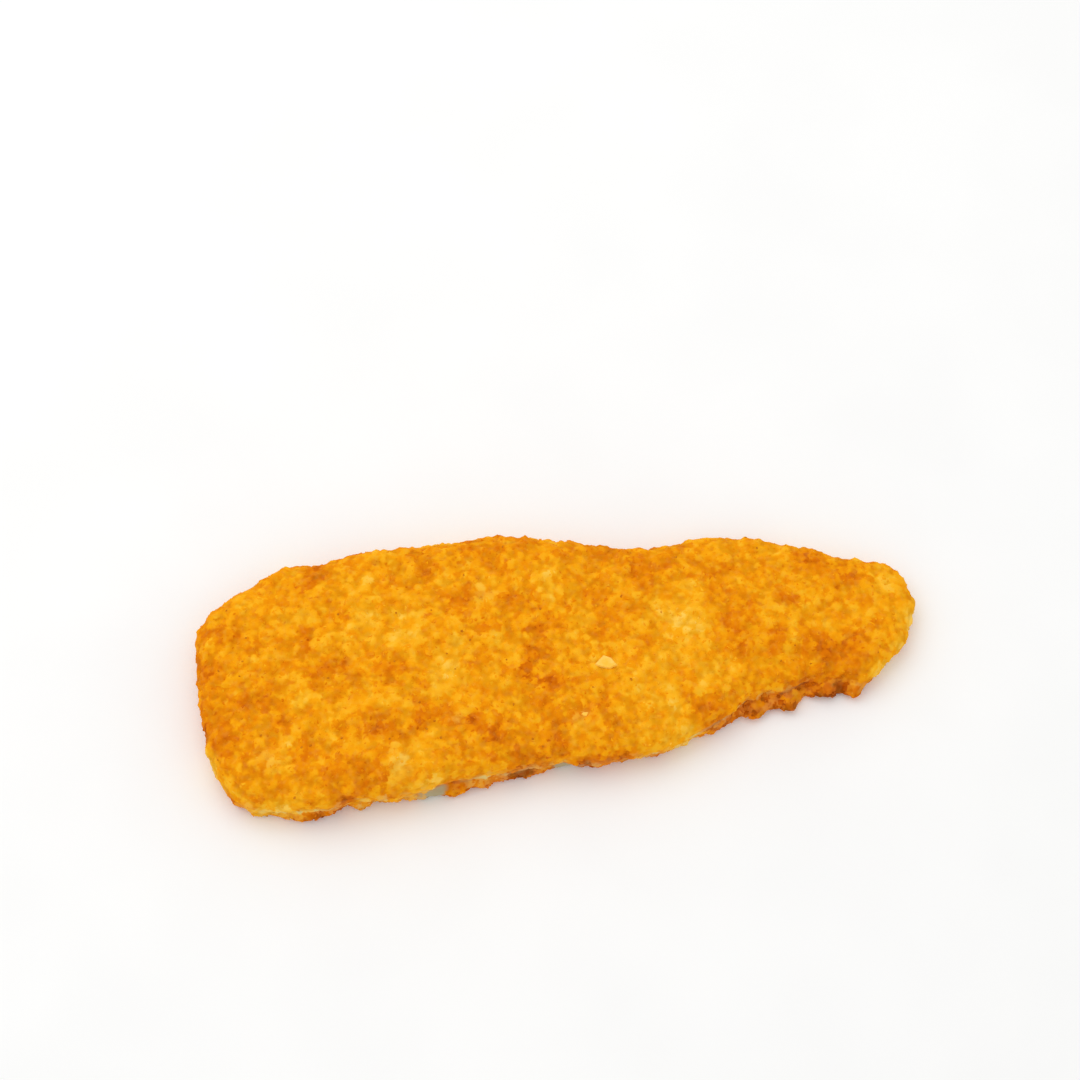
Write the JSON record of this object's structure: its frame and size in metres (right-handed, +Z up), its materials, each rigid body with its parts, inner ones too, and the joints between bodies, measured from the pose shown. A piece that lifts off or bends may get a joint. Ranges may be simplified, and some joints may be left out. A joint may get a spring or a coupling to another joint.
{
  "type": "fried fish fillet",
  "caption": "Flat breaded fish fillet in a golden fried crumb crust, broad and thick at the loin end, narrowing to a thin rounded tail, with a flat sole to rest on.",
  "frame": {"origin": "middle of the footprint's box, on the surface that the sole rests on", "axes": "+X along the fillet towards the tail, +Y across to the far long edge, +Z up through the top crust"},
  "size_m": [0.165, 0.0658, 0.0144],
  "materials": {
    "crust": "fried breadcrumb crust, rough, matt with a slight oily sheen"
  },
  "bodies": {
    "root": {"fillet": "crust"}
  },
  "joints": []
}
